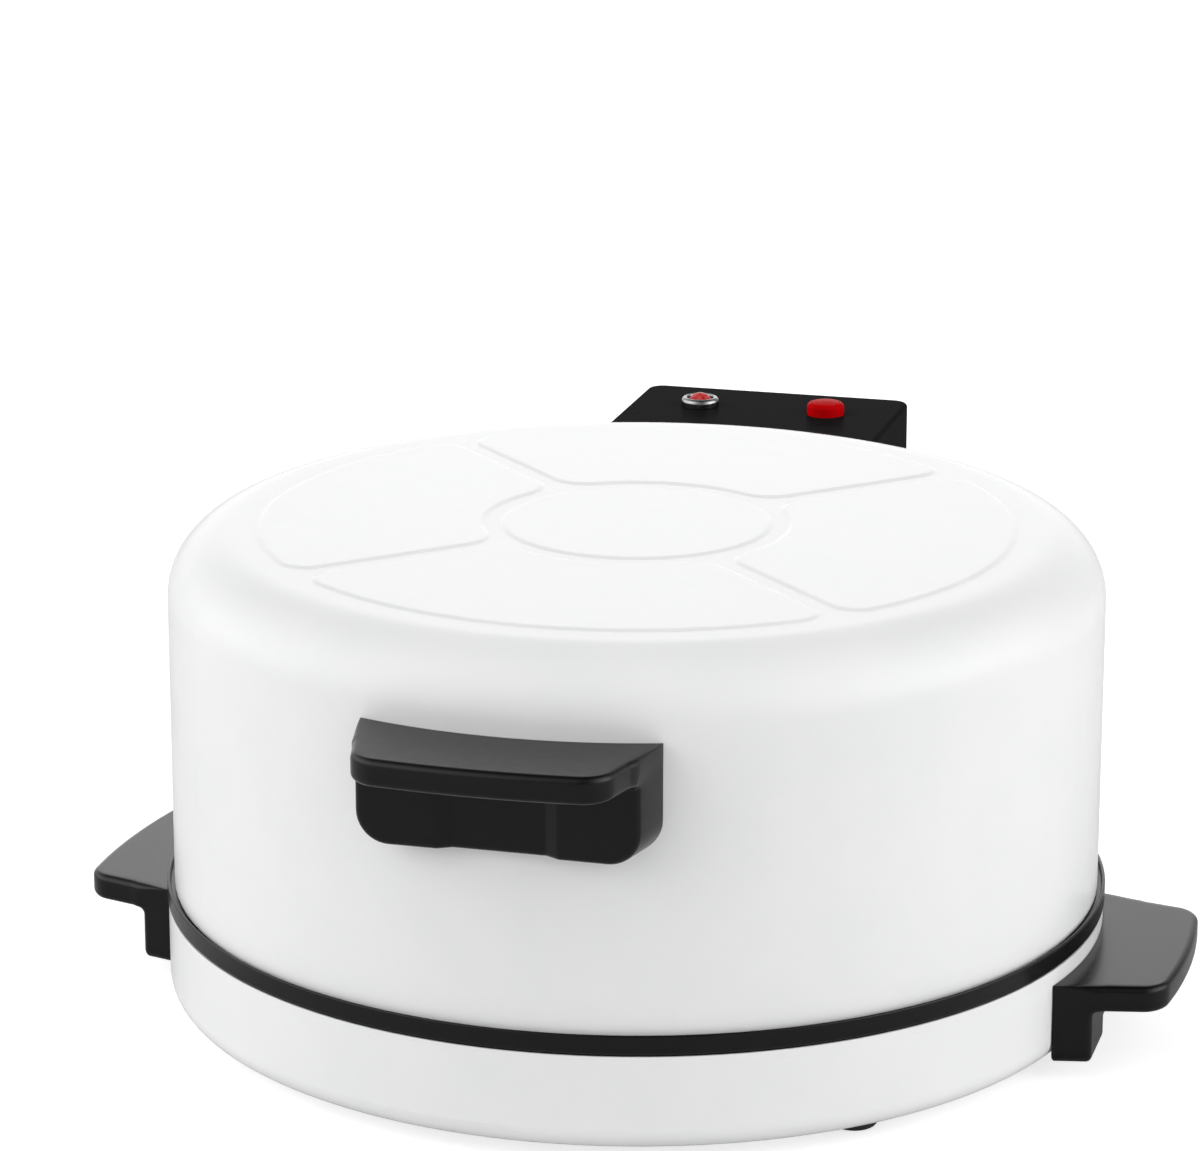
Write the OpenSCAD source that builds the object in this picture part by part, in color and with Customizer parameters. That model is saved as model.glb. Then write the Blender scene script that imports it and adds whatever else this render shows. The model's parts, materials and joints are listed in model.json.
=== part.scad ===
// Round electric pizza oven: a base with a heated baking plate and a deep domed lid hinged at the back.
// Millimetres. +Z is up and the front handle points along -Y. The origin lies on the table,
// under the middle of the oven's whole width and depth.

/* [Lid] */
// Outer radius of the lid's wall
lid_r = 210; // [190:1:230]
// Height of the lid from its lower edge to its top face
lid_h = 163; // [145:1:180]
// Radius of the shoulder between the lid's wall and its top
lid_round = 29; // [22:1:34]
// Sheet thickness of the lid and the base
sheet_t = 0.8; // [0.6:0.1:1.2]
// Height of the pressed pattern on the lid's top
emboss_h = 1.2; // [0.8:0.1:2]
// Distance from the lid's wall to the pressed pattern
emboss_margin = 41; // [38:1:50]
// Radius of the round field in the middle of the pattern
centre_r = 60; // [50:1:70]
// Width of the channels between the pressed fields
channel_w = 9; // [6:1:12]
// Corner radius of the pressed fields
field_corner = 14; // [8:1:18]
// Number of pressed fields round the middle one
field_count = 4; // [3:1:6]

/* [Base] */
// Height of the base shell
base_h = 43; // [38:1:50]
// Radius of the base's lower edge
base_round = 9.5; // [6:0.5:12]
// How far the base's wall stands out past the lid's wall
base_proud = 3; // [2.5:0.5:5]
// Height of the rubber feet
foot_h = 8; // [6:1:12]
// Radius of a foot
foot_r = 10.5; // [9.5:0.5:13]
// Radius of the lower edge of a foot
foot_edge = 3; // [1.5:0.5:3]
// Distance from the base's wall to the middle of a foot
foot_inset = 27; // [24:1:40]
// Radius of the ring of ventilation slots in the base's floor
vent_ring_r = 130; // [115:1:150]
// Length of a ventilation slot
vent_l = 28; // [16:1:36]
// Width of a ventilation slot
vent_w = 5; // [3:0.5:7]
// Number of ventilation slots
vent_count = 12; // [6:3:18]

/* [Rim ring] */
// Visible height of the ring between base and lid
rim_h = 9.5; // [8:0.5:12]
// Thickness of the ring's outer lip
lip_t = 1.6; // [1.2:0.1:2]
// Depth of the groove that takes the lid's edge
groove_d = 2.3; // [1.5:0.1:3]
// Width of the ledge under the edge of the plate
ledge_w = 6; // [4:0.5:8]
// Thickness of the ledge
ledge_t = 4; // [3:0.5:6]

/* [Baking chamber] */
// Distance from the lid's wall to the edge of the baking plate
plate_inset = 9; // [8.5:0.5:14]
// Thickness of the baking plate
plate_t = 5; // [4:0.5:6]
// Height of the bead round the plate's edge
bead_h = 1.2; // [0.6:0.2:1.6]
// Width of the bead round the plate's edge
bead_w = 5; // [3:0.5:8]
// Thickness of the liner and the reflector pan
liner_t = 0.6; // [0.5:0.1:0.8]
// Air gap between the lid's wall and its liner
liner_gap = 6; // [5:0.5:9]
// Air gap between the lid's top and its liner
liner_top_gap = 22; // [18:1:28]
// Corner radius of the liner
liner_round = 18; // [12:1:24]
// Height of the liner's flange above the lid's lower edge
flange_lift = 4; // [3.5:0.5:8]
// Radius of the tube of the heating elements
tube_r = 4; // [3:0.25:4.5]
// Radius of the upper element's ring
upper_ring_r = 150; // [120:1:165]
// Distance from the liner's ceiling to the upper element's axis
upper_drop = 24; // [18:1:32]
// Radius of the lower element's ring
lower_ring_r = 130; // [100:1:150]
// Height of the lower element's axis above the pan's floor
lower_lift = 13; // [9:1:16]
// Distance from the middle to each leg of an element
leg_x = 20; // [16:1:26]
// Bend radius where an element's ring turns into its legs
bend_r = 14; // [10:1:18]
// Width of the straps that hold the elements
clip_w = 9; // [6:1:12]
// Sheet thickness of the straps
clip_t = 1.2; // [1:0.1:1.6]
// Gap under the reflector pan
pan_gap = 14; // [12.5:0.5:16]
// Radius of the circle of spacers under the pan
spacer_ring_r = 85; // [70:1:100]
// Outer radius of a spacer
spacer_r = 5; // [4.5:0.5:7]

/* [Handles] */
// Width of the front handle at the lid
front_root_w = 130; // [110:1:150]
// Width of the front handle at its tip
front_tip_w = 106; // [95:1:118]
// How far the front handle reaches out from the lid
front_reach = 45; // [40:1:54]
// Height of the front handle
front_h = 47; // [40:1:56]
// Thickness of the front handle's mounting block at its middle
front_block_t = 12; // [9:1:18]
// Height of the front handle's top above the lid's lower edge
front_top = 128; // [115:1:131]
// Width of a side handle at the base
side_root_w = 124; // [110:1:140]
// Width of a side handle at its tip
side_tip_w = 104; // [92:1:114]
// How far a side handle reaches out from the base
side_reach = 42; // [36:1:48]
// Height of a side handle
side_h = 36; // [30:1:38]
// Thickness of a side handle's mounting block at its middle
side_block_t = 8; // [7:1:14]
// Distance from the base's top edge down to a side handle's top
side_drop = 7; // [5:0.5:9]
// Angle by which the left side handle sits behind the middle
left_back = 3.5; // [0:0.5:6]
// Angle by which the right side handle sits behind the middle
right_back = 0; // [0:0.5:6]
// Radius of the lower corners of the side handles' mounting blocks
side_corner = 4; // [2:0.5:10]
// Thickness of the grip plates
grip_t = 12; // [10:0.5:14]
// Edge radius of the grip plates
grip_edge = 3; // [2:0.5:4]
// Corner radius of the grip plates in plan
grip_corner = 10; // [8:1:14]
// How far the tip of a grip plate bows out
grip_bow = 4; // [2:0.5:7]
// Radius of the lower corners of the front handle's mounting block
front_corner = 14; // [8:1:18]
// Radius of the lower front edge of the mounting blocks
block_edge = 3; // [1:0.5:4]
// Width of the set-back middle of the mounting blocks
recess_w = 40; // [30:1:48]
// Width of the slope on each side of the set-back middle
recess_slope = 6; // [3:0.5:8]
// Depth of the set-back middle of the mounting blocks
recess_d = 3.4; // [2:0.2:4.4]
// Distance from the middle of a handle to each of its screws
handle_screw_x = 36; // [34:1:42]

/* [Control housing] */
// Width of the housing at the back of the lid
housing_w = 134; // [124:1:150]
// Depth of the housing behind the lid's wall, with its cover
housing_d = 71; // [66:1:76]
// Wall thickness of the housing
housing_wall = 3; // [2.5:0.5:4]
// Radius of the housing's rear corners in plan
housing_corner = 8; // [5:1:12]
// Radius of the housing's upper edges
housing_edge = 2; // [1:0.5:2.5]
// Thickness of the back cover
cover_t = 4; // [3.5:0.5:6]
// How far the control panel lies below the lid's top
panel_drop = 6; // [4:0.5:10]
// Distance of the lamp and the button behind the lid's wall
control_out = 33; // [31:1:38]
// Distance of the lamp and the button from the middle
control_x = 32; // [26:1:38]
// Radius of the lamp's bezel
bezel_r = 9.3; // [8.5:0.1:10.5]
// Height of the lamp's bezel above the panel
bezel_rise = 3.4; // [2:0.2:4]
// Radius of the lamp's lens
lens_r = 5.4; // [4.5:0.1:6]
// Height of the lamp's lens above the panel
lens_rise = 5.2; // [4:0.2:6]
// Radius of the power button
button_r = 9.2; // [8:0.1:9.8]
// Height of the power button above the panel
button_rise = 6.4; // [4:0.2:7]
// Travel of the power button
button_travel = 3; // [2:0.5:3.5]
// Outer width of the switch body
switch_w = 22; // [21.5:0.5:23]

/* [Hinge] */
// Distance of the hinge axis behind the lid's wall
hinge_back = 22; // [21:1:24]
// Radius of the hinge pin
pin_r = 3; // [2.5:0.25:3.5]
// Radius of the hinge knuckles
knuckle_r = 8; // [7:0.5:9]
// Thickness of the housing's two hinge lugs
lug_t = 11; // [9:1:13]
// Height of the housing's floor above the hinge axis
lug_rise = 18.5; // [16:0.5:24]
// Width of the bracket on the base
bracket_w = 100; // [92:1:104]

/* [Mains inlet] */
// Radius of the bore for the mains cord
cord_r = 3.6; // [3:0.1:4]
// Angle of the inlet from the middle of the back
inlet_angle = 32; // [28:1:40]

/* [Screws] */
// Radius of the screw shanks
screw_r = 2; // [1.5:0.1:2.2]
// Radius of the screw heads
head_r = 4; // [3.4:0.1:4.2]
// Height of the screw heads
head_h = 2.4; // [1.8:0.1:2.6]

/* [Fits] */
// Gap between pieces that are seated on each other
seat_gap = 0.2; // [0.1:0.05:0.3]
// Gap between the lid and the rim ring when the lid is shut
lid_gap = 0.4; // [0.3:0.1:0.8]
// Radial clearance of the hinge pin in its bores
pin_clear = 0.05; // [0.02:0.01:0.08]
// Radial clearance of the button in its hole
button_clear = 0.4; // [0.3:0.1:0.6]
// Room under the housing's back when the lid stands open
rest_gap = 0.5; // [0.4:0.1:1]

/* [Hidden] */
$fn = 96;

// Cutting tools run past the faces that they cut by this much
over = 1;
// The round body's axis lies this far from the middle of the whole depth
body_y = -(housing_d - front_reach) / 2;

base_r = lid_r + base_proud;
base_top = foot_h + base_h;
base_floor = foot_h + sheet_t;
base_in_r = base_r - sheet_t;
foot_ring_r = base_r - foot_inset;
foot_sink = 1.4;

rim_proud = 0.5;
rim_r = base_r + rim_proud;
rim_top = base_top + rim_h;
deck_z = rim_top - groove_d;
plate_r = lid_r - plate_inset;
plate_z = base_top + liner_t;
ledge_r = plate_r - ledge_w;

pan_z = base_floor + pan_gap;
pan_r = ledge_r - over;
pan_round = 6;
lower_z = pan_z + liner_t + lower_lift;

lid_z = deck_z + lid_gap;
lid_top = lid_z + lid_h;
lid_in_r = lid_r - sheet_t;
liner_r = lid_in_r - liner_gap;
liner_top = lid_top - sheet_t - liner_top_gap;
liner_z = lid_z + flange_lift;
upper_z = liner_top - liner_t - upper_drop;
field_r = lid_r - emboss_margin;
field_in_r = centre_r + channel_w;

front_top_z = lid_z + front_top;
side_top_z = base_top - side_drop;
handle_screw_depth = 8;
front_screw_z = front_top_z - (front_h + grip_t) / 2;
side_screw_z = side_top_z - (side_h + grip_t) / 2;
side_angles = [-90 - left_back, 90 + right_back];

housing_back_y = lid_r + housing_d;
cover_y = housing_back_y - cover_t;
control_y = lid_r + control_out;
panel_z = lid_top - panel_drop;
panel_lap = 3;

hinge_y = lid_r + hinge_back;
hinge_z = housing_back_y - hinge_y + rest_gap;
housing_z = hinge_z + lug_rise;
lug_x = housing_w / 2 - lug_t;
lug_gap = 0.4;
pin_head_t = 2;
pin_end_x = housing_w / 2 + lug_gap;
bracket_z = foot_h + base_round;
bracket_screw_x = 34;
bracket_low_inset = 6;
bracket_high_inset = 10;
bracket_screw_z = [bracket_z + bracket_low_inset, base_top - bracket_high_inset];
housing_screw_x = 40;
housing_screw_inset = 22;
housing_screw_z = [housing_z + housing_screw_inset, lid_top - lid_round - housing_screw_inset];
boss_r = head_r + 1;
boss_l = 9;
post_r = 4;
post_inset = housing_wall + post_r - 1.5;
post_l = 20;
cover_screw_l = 14;
head_sink = 0.3;
cover_post_x = housing_w / 2 - housing_corner - head_r - over;
cover_post_z = [housing_z + post_inset, panel_z - post_inset];

bezel_edge = 1.6;
sleeve_r = lens_r + 1.8;
sleeve_l = 12;
button_skirt = housing_wall + 2;
button_edge = 2.4;
switch_l = 24;
stem_r = 3;
stem_l = 8;
lens_sink = 4;
nut_t = 3;
inlet_z = foot_h + base_h / 2;
inlet_wall = 2.6;
inlet_rim = 2.8;
inlet_flange_r = cord_r + inlet_wall + inlet_rim;
inlet_flange_t = 3;
inlet_l = 14;

white = [0.95, 0.95, 0.94];
black = [0.10, 0.10, 0.11];
steel = [0.75, 0.76, 0.78];
sheath = [0.35, 0.35, 0.36];
cream = [0.86, 0.84, 0.78];
red = [0.75, 0.02, 0.03];

// Moves a piece from the round body's axis to the part's own origin
module placed() {
  translate([0, body_y, 0]) children();
}

// Half section of a can that stands on z = 0 and has a rounded top edge
module can_2d(r, h, edge) {
  square([r, h - edge]);
  square([r - edge, h]);
  translate([r - edge, h - edge]) circle(edge);
}

// A solid can that stands on z = 0
module can(r, h, edge) {
  rotate_extrude() can_2d(r, h, edge);
}

// A thin cup that is open at z = 0 and closed at its rounded top
module cup(r, h, edge, t) {
  difference() {
    can(r, h, edge);
    translate([0, 0, -over]) can(r - t, h - t + over, edge - t);
  }
}

// Turns pieces made along -Y, the front, by an angle counted towards +X
module turned(angle) {
  rotate([0, 0, angle]) children();
}

// A round bar or hole along -Y, from one distance to another from the body's axis
module spoke_bar(r, from, to, z) {
  translate([0, -from, z]) rotate([90, 0, 0]) cylinder(r = r, h = to - from);
}

// Angle at which a point of a round wall lies a given distance from the middle
function wall_angle(x, r) = asin(x / r);

// A screw through a round wall from inside: its head lies on the wall's inner face
module wall_screw(inner_r, to, z) {
  head_face = sqrt(inner_r * inner_r - head_r * head_r) - seat_gap / 2;
  spoke_bar(head_r, head_face - head_h, head_face, z);
  spoke_bar(screw_r, head_face - head_h / 2, to, z);
}

// Hole for such a screw
module wall_screw_hole(from, to, z) {
  spoke_bar(screw_r + seat_gap, from, to, z);
}

// An upright screw with its head at the bottom, from z = 0 to its tip
module upright_screw(l) {
  cylinder(r = head_r, h = head_h);
  cylinder(r = screw_r, h = l);
}

// Calls its children at the four feet
module at_feet() {
  for (a = [45 : 90 : 315]) turned(a) translate([0, -foot_ring_r, 0]) children();
}

// Calls its children at the three spacers under the pan
module at_spacers() {
  for (a = [0 : 120 : 240]) turned(a) translate([0, -spacer_ring_r, 0]) children();
}

// A slot with round ends that runs along Y
module slot_2d(l, w) {
  half = (l - w) / 2;
  translate([-w / 2, -half]) square([w, 2 * half]);
  for (s = [-1, 1]) translate([0, s * half]) circle(w / 2);
}

// Calls its children at both screws of a handle or bracket on a wall of radius r
module at_pair(x, r) {
  for (s = [-1, 1]) turned(s * wall_angle(x, r)) children();
}

module base_shell() {
  color(white) placed() difference() {
    translate([0, 0, base_top]) mirror([0, 0, 1]) cup(base_r, base_h, base_round, sheet_t);
    at_feet() cylinder(r = screw_r + seat_gap, h = base_top);
    at_spacers() cylinder(r = screw_r + seat_gap, h = base_top);
    for (i = [0 : vent_count - 1])
      turned(360 * (i + 0.5) / vent_count) translate([0, -vent_ring_r, foot_h - over])
        linear_extrude(sheet_t + 2 * over) slot_2d(vent_l, vent_w);
    for (angle = side_angles) turned(angle) at_pair(handle_screw_x, base_r)
      wall_screw_hole(base_r - base_round, base_r + over, side_screw_z);
    for (z = bracket_screw_z) turned(180) at_pair(bracket_screw_x, base_r)
      wall_screw_hole(base_r - base_round, base_r + over, z);
    turned(180 - inlet_angle) spoke_bar(cord_r + inlet_wall, base_r - base_round, base_r + over, inlet_z);
  }
}

// Section of the rim ring: a deck for the lid's edge, an outer lip and a ledge for the plate
module rim_ring_2d() {
  deck_in_r = plate_r + 2 * seat_gap;
  translate([deck_in_r, base_top]) square([rim_r - deck_in_r, rim_h - groove_d]);
  translate([rim_r - lip_t, base_top]) square([lip_t, rim_h - lip_t / 2]);
  translate([rim_r - lip_t / 2, rim_top - lip_t / 2]) circle(lip_t / 2);
  translate([ledge_r, base_top - ledge_t]) square([base_in_r - seat_gap - ledge_r, ledge_t]);
}

module rim_ring() {
  color(black) placed() rotate_extrude() rim_ring_2d();
}

module baking_plate() {
  color([0.20, 0.20, 0.21]) placed() translate([0, 0, plate_z]) rotate_extrude() {
    square([plate_r, plate_t]);
    translate([plate_r - bead_w, 0]) square([bead_w, plate_t + bead_h]);
  }
}

module lower_reflector() {
  pan_h = base_top + liner_t - pan_z;
  color(steel) placed() difference() {
    union() {
      translate([0, 0, pan_z + pan_h]) mirror([0, 0, 1]) can(pan_r, pan_h, pan_round);
      translate([0, 0, base_top]) cylinder(r = plate_r - seat_gap, h = liner_t);
    }
    translate([0, 0, pan_z + pan_h + over]) mirror([0, 0, 1])
      can(pan_r - liner_t, pan_h - liner_t + over, pan_round - liner_t);
    at_spacers() cylinder(r = screw_r + seat_gap, h = base_top);
    for (s = [-1, 1]) translate([s * leg_x, 0, lower_z]) rotate([-90, 0, 0])
      cylinder(r = tube_r + seat_gap, h = base_r);
  }
}

// Tubular heating element in the plane z = 0: an open ring, two bends and two legs that run back
module element(ring_r, leg_end) {
  span = ring_r + bend_r;
  gap_angle = asin((leg_x + bend_r) / span);
  bend_y = span * cos(gap_angle);
  bend_neck = 0.1;
  bend_lap = 2;
  stud_r = tube_r / 2;
  stud_l = 9;
  rotate([0, 0, 90 + gap_angle]) rotate_extrude(angle = 360 - 2 * gap_angle)
    translate([ring_r, 0]) circle(tube_r);
  for (s = [0, 1]) mirror([s, 0, 0]) {
    translate([leg_x + bend_r, bend_y, 0]) rotate([0, 0, 180 - bend_lap])
      rotate_extrude(angle = 90 - gap_angle + 2 * bend_lap) translate([bend_r, 0]) circle(tube_r - bend_neck);
    translate([leg_x, bend_y, 0]) rotate([-90, 0, 0]) cylinder(r = tube_r, h = leg_end - bend_y);
    translate([leg_x, leg_end - over, 0]) rotate([-90, 0, 0]) cylinder(r = stud_r, h = stud_l + over);
  }
}

module lower_element() {
  color(sheath) placed() translate([0, 0, lower_z]) element(lower_ring_r, pan_r + over);
}

// A strap round an element's tube at the origin, with a foot that lies on the sheet at z = reach
module strap(reach) {
  loop_r = tube_r + seat_gap;
  foot_w = 9;
  difference() {
    union() {
      rotate([90, 0, 0]) cylinder(r = loop_r + clip_t, h = clip_w, center = true);
      translate([-clip_t / 2, -clip_w / 2, loop_r]) cube([clip_t, clip_w, reach - loop_r]);
      translate([-foot_w / 2, -clip_w / 2, reach - clip_t]) cube([foot_w, clip_w, clip_t]);
    }
    rotate([90, 0, 0]) cylinder(r = loop_r, h = clip_w + 2 * over, center = true);
  }
}

// Three straps on the ring of an element
module straps(ring_r, reach) {
  for (a = [0 : 120 : 240]) turned(a) translate([0, -ring_r, 0]) rotate([0, 0, 90]) strap(reach);
}

module lower_clips() {
  color(steel) placed() translate([0, 0, lower_z]) mirror([0, 0, 1])
    turned(60) straps(lower_ring_r, lower_lift);
}

module pan_spacers() {
  color(steel) placed() at_spacers() translate([0, 0, base_floor]) difference() {
    cylinder(r = spacer_r, h = pan_gap);
    translate([0, 0, -over]) cylinder(r = screw_r + seat_gap, h = pan_gap + 2 * over);
  }
}

module pan_screws() {
  nut_h = 3;
  screw_l = head_h + sheet_t + pan_gap + liner_t + nut_h;
  color(steel) placed() at_spacers() translate([0, 0, foot_h - head_h]) {
    upright_screw(screw_l);
    translate([0, 0, screw_l - nut_h]) cylinder(r = head_r, h = nut_h, $fn = 6);
  }
}

// A bimetal disc switch that stands on z = 0, with two ears and two flat terminals
module bimetal() {
  disc_r = 8;
  disc_h = 8;
  ear_l = 30;
  ear_t = 1;
  tab = [0.8, 5, 3];
  cylinder(r = disc_r, h = disc_h);
  translate([-ear_l / 2, -disc_r / 2, 0]) cube([ear_l, disc_r, ear_t]);
  for (s = [-1, 1]) translate([(s * disc_r - tab.x) / 2, -tab.y / 2, disc_h - over]) cube(tab + [0, 0, over]);
}

module thermal_cutout() {
  color(cream) placed() translate([0, spacer_ring_r / 2, pan_z]) mirror([0, 0, 1]) bimetal();
}

module terminal_block() {
  block = [44, 16, 11];
  poles = 3;
  wire_r = 2.4;
  clamp_r = 2;
  wall_gap = 38;
  corner = [-block.x / 2, base_in_r - wall_gap - block.y, base_floor];
  color(cream) placed() translate(corner) difference() {
    cube(block);
    for (i = [0 : poles - 1]) translate([block.x * (i + 0.5) / poles, 0, block.z / 2]) {
      translate([0, -over, 0]) rotate([-90, 0, 0]) cylinder(r = wire_r, h = block.y + 2 * over);
      translate([0, block.y / 2, 0]) cylinder(r = clamp_r, h = block.z);
    }
  }
}

module rubber_feet() {
  recess_r = head_r + 0.6;
  recess_h = head_h + foot_sink;
  color([0.07, 0.07, 0.07]) placed() at_feet() difference() {
    translate([0, 0, foot_h]) mirror([0, 0, 1]) can(foot_r, foot_h, foot_edge);
    translate([0, 0, -over]) cylinder(r = recess_r, h = recess_h + over);
    cylinder(r = screw_r + seat_gap, h = foot_h + over);
  }
}

module foot_screws() {
  grip_l = 4;
  color(steel) placed() at_feet() translate([0, 0, foot_sink]) upright_screw(foot_h + grip_l);
}

// A flat round puck with rounded edges and its top at z = 0, for the corners of a grip plate
module puck() {
  rotate_extrude($fn = 32) {
    translate([0, -grip_t]) square([grip_corner - grip_edge, grip_t]);
    translate([0, -grip_t + grip_edge]) square([grip_corner, grip_t - 2 * grip_edge]);
    for (z = [-grip_edge, grip_edge - grip_t])
      translate([grip_corner - grip_edge, z]) circle(grip_edge, $fn = 24);
  }
}

// Grip plate of a handle on a wall of radius wall_r, with a bowed tip and its top at z = 0
module grip_plate(wall_r, root_w, tip_w, reach) {
  tip_x = tip_w / 2 - grip_corner;
  root_x = root_w / 2 - grip_corner;
  steps = 3;
  hull() {
    for (i = [-steps : steps])
      translate([tip_x * i / steps, grip_corner - wall_r - reach + grip_bow * pow(i / steps, 2), 0]) puck();
    for (s = [-1, 1]) translate([s * root_x, 2 * grip_corner - wall_r, 0]) puck();
  }
}

// Front view of a mounting block: straight sides, rounded lower corners, its top at y = 0
module block_2d(w, h, corner) {
  translate([-w / 2, corner - h]) square([w, h - corner]);
  translate([corner - w / 2, -h]) square([w - 2 * corner, h]);
  for (s = [-1, 1]) translate([s * (w / 2 - corner), corner - h]) circle(corner);
}

// Plan of a mounting block: ends that taper with the grip plate, and a flat front with a set-back middle
module block_plan_2d(wall_r, root_w, tip_w, reach, t) {
  root_y = grip_corner - wall_r;
  face_y = -wall_r - t;
  taper = (root_w - tip_w) / 2 / (reach + grip_corner);
  face_x = root_w / 2 - taper * (root_y - face_y);
  floor_x = recess_w / 2;
  edge_x = floor_x + recess_slope;
  polygon([[-root_w / 2, root_y], [-face_x, face_y], [-edge_x, face_y], [-floor_x, face_y + recess_d],
           [floor_x, face_y + recess_d], [edge_x, face_y], [face_x, face_y], [root_w / 2, root_y]]);
}

// Side view of a mounting block, in Y and Z: its lower front edge is rounded
module block_side_2d(wall_r, h, t) {
  face_y = wall_r + t;
  translate([-face_y, block_edge - h]) square([face_y, h - block_edge]);
  translate([block_edge - face_y, -h]) square([face_y - block_edge, h]);
  translate([block_edge - face_y, block_edge - h]) circle(block_edge);
}

// Mounting block of a handle, where its plan, its front view and its side view meet
module mounting_block(wall_r, root_w, tip_w, reach, h, t, corner) {
  intersection() {
    translate([0, 0, -h]) linear_extrude(h) block_plan_2d(wall_r, root_w, tip_w, reach, t);
    translate([0, 0, -grip_t / 2]) rotate([90, 0, 0]) linear_extrude(wall_r + reach)
      block_2d(root_w, h - grip_t / 2, corner);
    across(root_w) block_side_2d(wall_r, h, t);
  }
}

// Moulded handle on a wall of radius wall_r, pointing along -Y, with its top at z = 0
module handle(wall_r, root_w, tip_w, reach, h, t, corner) {
  difference() {
    union() {
      grip_plate(wall_r, root_w, tip_w, reach);
      mounting_block(wall_r, root_w, tip_w, reach, h, t, corner);
    }
    translate([0, 0, -h - over]) cylinder(r = wall_r + seat_gap, h = h + 2 * over);
    at_pair(handle_screw_x, wall_r)
      spoke_bar(screw_r + seat_gap / 2, wall_r - over, wall_r + handle_screw_depth + over, -(h + grip_t) / 2);
  }
}

module side_handle(angle) {
  color(black) placed() translate([0, 0, side_top_z]) turned(angle)
    handle(base_r, side_root_w, side_tip_w, side_reach, side_h, side_block_t, side_corner);
}

module left_side_handle() {
  side_handle(side_angles[0]);
}

module right_side_handle() {
  side_handle(side_angles[1]);
}

module side_handle_screws() {
  color(steel) placed() for (angle = side_angles) turned(angle) at_pair(handle_screw_x, base_r)
    wall_screw(base_in_r, base_r + handle_screw_depth, side_screw_z);
}

// Side view of the bracket: a foot on the base's wall that carries the knuckle
module bracket_2d() {
  root_y = base_r - foot_inset;
  toe_y = base_r + handle_screw_depth + over;
  neck_y = rim_r + 2;
  translate([hinge_y, hinge_z]) circle(knuckle_r);
  polygon([[root_y, bracket_z], [toe_y, bracket_z], [hinge_y + knuckle_r, hinge_z],
           [hinge_y, hinge_z + knuckle_r], [neck_y, base_top - over], [root_y, base_top - over]]);
}

// Places a side view, drawn in Y and Z, across the middle with the width w
module across(w) {
  translate([-w / 2, 0, 0]) rotate([90, 0, 90]) linear_extrude(w) children();
}

// A bar along X on the hinge axis
module hinge_bar(r, from, to) {
  translate([from, hinge_y, hinge_z]) rotate([0, 90, 0]) cylinder(r = r, h = to - from);
}

module hinge_bracket() {
  color(black) placed() difference() {
    union() {
      across(bracket_w) bracket_2d();
      hinge_bar(knuckle_r, lug_gap - lug_x, lug_x - lug_gap);
    }
    cylinder(r = base_r + seat_gap, h = lid_z);
    hinge_bar(pin_r + pin_clear, -housing_w, housing_w);
    for (z = bracket_screw_z) turned(180) at_pair(bracket_screw_x, base_r)
      spoke_bar(screw_r + seat_gap / 2, base_r - over, base_r + handle_screw_depth - 1, z);
  }
}

module bracket_screws() {
  color(steel) placed() for (z = bracket_screw_z) turned(180) at_pair(bracket_screw_x, base_r)
    wall_screw(base_in_r, base_r + handle_screw_depth - 2, z);
}

module hinge_pin() {
  tip_l = 4;
  color(steel) placed() {
    hinge_bar(pin_r, -pin_end_x, pin_end_x + tip_l);
    hinge_bar(pin_r + 2, -pin_end_x - pin_head_t, -pin_end_x);
  }
}

module pin_clip() {
  color(steel) placed() difference() {
    hinge_bar(pin_r + 2.4, pin_end_x, pin_end_x + 1.2);
    hinge_bar(pin_r + pin_clear, pin_end_x - over, pin_end_x + 1.2 + over);
  }
}

module cord_gland() {
  bush_r = cord_r + 2.4;
  nut_r = sqrt(pow(base_in_r, 2) - pow(inlet_flange_r, 2)) - seat_gap;
  outer_r = base_r + seat_gap;
  color(black) placed() turned(180 - inlet_angle) difference() {
    union() {
      spoke_bar(inlet_flange_r, outer_r, outer_r + inlet_flange_t, inlet_z);
      spoke_bar(bush_r, outer_r + inlet_flange_t - inlet_l, outer_r + inlet_flange_t, inlet_z);
      spoke_bar(inlet_flange_r, nut_r - inlet_flange_t, nut_r, inlet_z);
    }
    spoke_bar(cord_r, nut_r - inlet_l, outer_r + inlet_flange_t + over, inlet_z);
  }
}

// Cuts one corner of a pressed field to a true radius. The field lies at x < -edge, the corner's
// circle has its middle at the distance y, and the cut runs out to the radius end_r. It stops just
// short of the point where circle and arc touch, by the angle lap, so that they meet in a clean edge
module corner_cut_2d(edge, corner, y, end_r) {
  lap = 5;
  middle = [-edge - corner, -y];
  reach = end_r - norm(middle);
  turn = sign(reach) * lap;
  way = middle / norm(middle) * reach;
  tip = middle + [way.x * cos(turn) - way.y * sin(turn), way.x * sin(turn) + way.y * cos(turn)];
  difference() {
    polygon([middle, [over - edge, -y], [over - edge, tip.y], tip]);
    translate(middle) circle(corner);
  }
}

// The pressed field at the front, between two channels, drawn in by inset
module field_2d(inset) {
  in_r = field_in_r + inset;
  out_r = field_r - inset;
  edge = channel_w / 2 + inset;
  corner = field_corner - inset;
  off = edge + corner;
  far = sqrt(pow(out_r - corner, 2) - off * off);
  near = sqrt(pow(in_r + corner, 2) - off * off);
  difference() {
    circle(out_r);
    circle(in_r);
    for (s = [0, 1]) mirror([s, 0]) rotate(180 / field_count) {
      translate([-edge, -2 * out_r]) square(4 * out_r);
      corner_cut_2d(edge, corner, far, out_r + 2 * over);
      corner_cut_2d(edge, corner, near, in_r - over);
    }
  }
}

// The pressed pattern of the lid's top: a round field and a ring of fields round it
module pattern_2d(inset) {
  circle(centre_r - inset);
  for (i = [0 : field_count - 1]) rotate(360 * i / field_count) field_2d(inset);
}

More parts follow.
